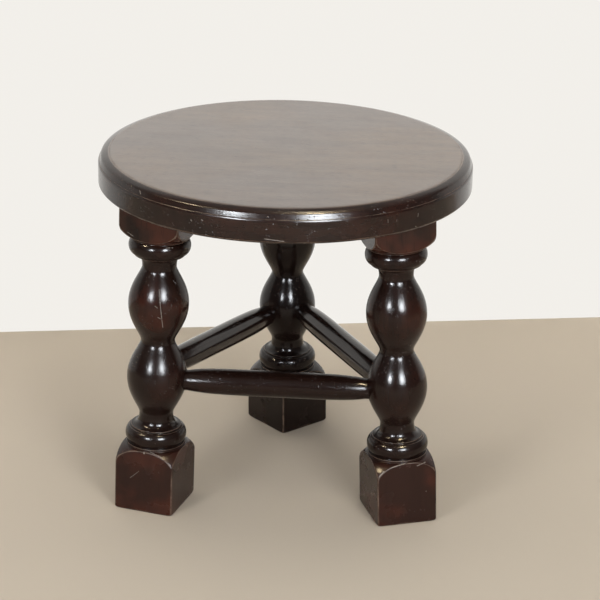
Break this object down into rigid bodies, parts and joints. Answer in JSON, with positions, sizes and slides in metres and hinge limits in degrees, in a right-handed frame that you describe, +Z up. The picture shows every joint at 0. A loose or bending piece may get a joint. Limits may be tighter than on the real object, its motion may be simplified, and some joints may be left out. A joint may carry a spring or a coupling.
{
  "type": "tripod stool",
  "caption": "Low round wooden stool with a moulded seat edge, turned baluster legs between square blocks, and cigar-shaped round stretchers; made to sit on or to set things on.",
  "frame": {"origin": "on the floor under the centre of the seat", "axes": "+Z up out of the seat, +Y towards the back leg, +X towards the right leg's side; the front stretcher runs along X"},
  "size_m": [0.38, 0.38, 0.3649],
  "materials": {
    "seat_wood": "dark brown stain under a satin lacquer",
    "leg_wood": "brown-black stain under a glossy lacquer",
    "stretcher_wood": "brown-black stain under a glossy lacquer",
    "dowel_wood": "bare hardwood, hidden"
  },
  "bodies": {
    "root": {"seat": "seat_wood", "leg_left": "leg_wood", "leg_right": "leg_wood", "leg_back": "leg_wood", "stretcher_front": "stretcher_wood", "stretcher_left": "stretcher_wood", "stretcher_right": "stretcher_wood", "dowel_left_a": "dowel_wood", "dowel_left_b": "dowel_wood", "dowel_right_a": "dowel_wood", "dowel_right_b": "dowel_wood", "dowel_back_a": "dowel_wood", "dowel_back_b": "dowel_wood"}
  },
  "joints": []
}
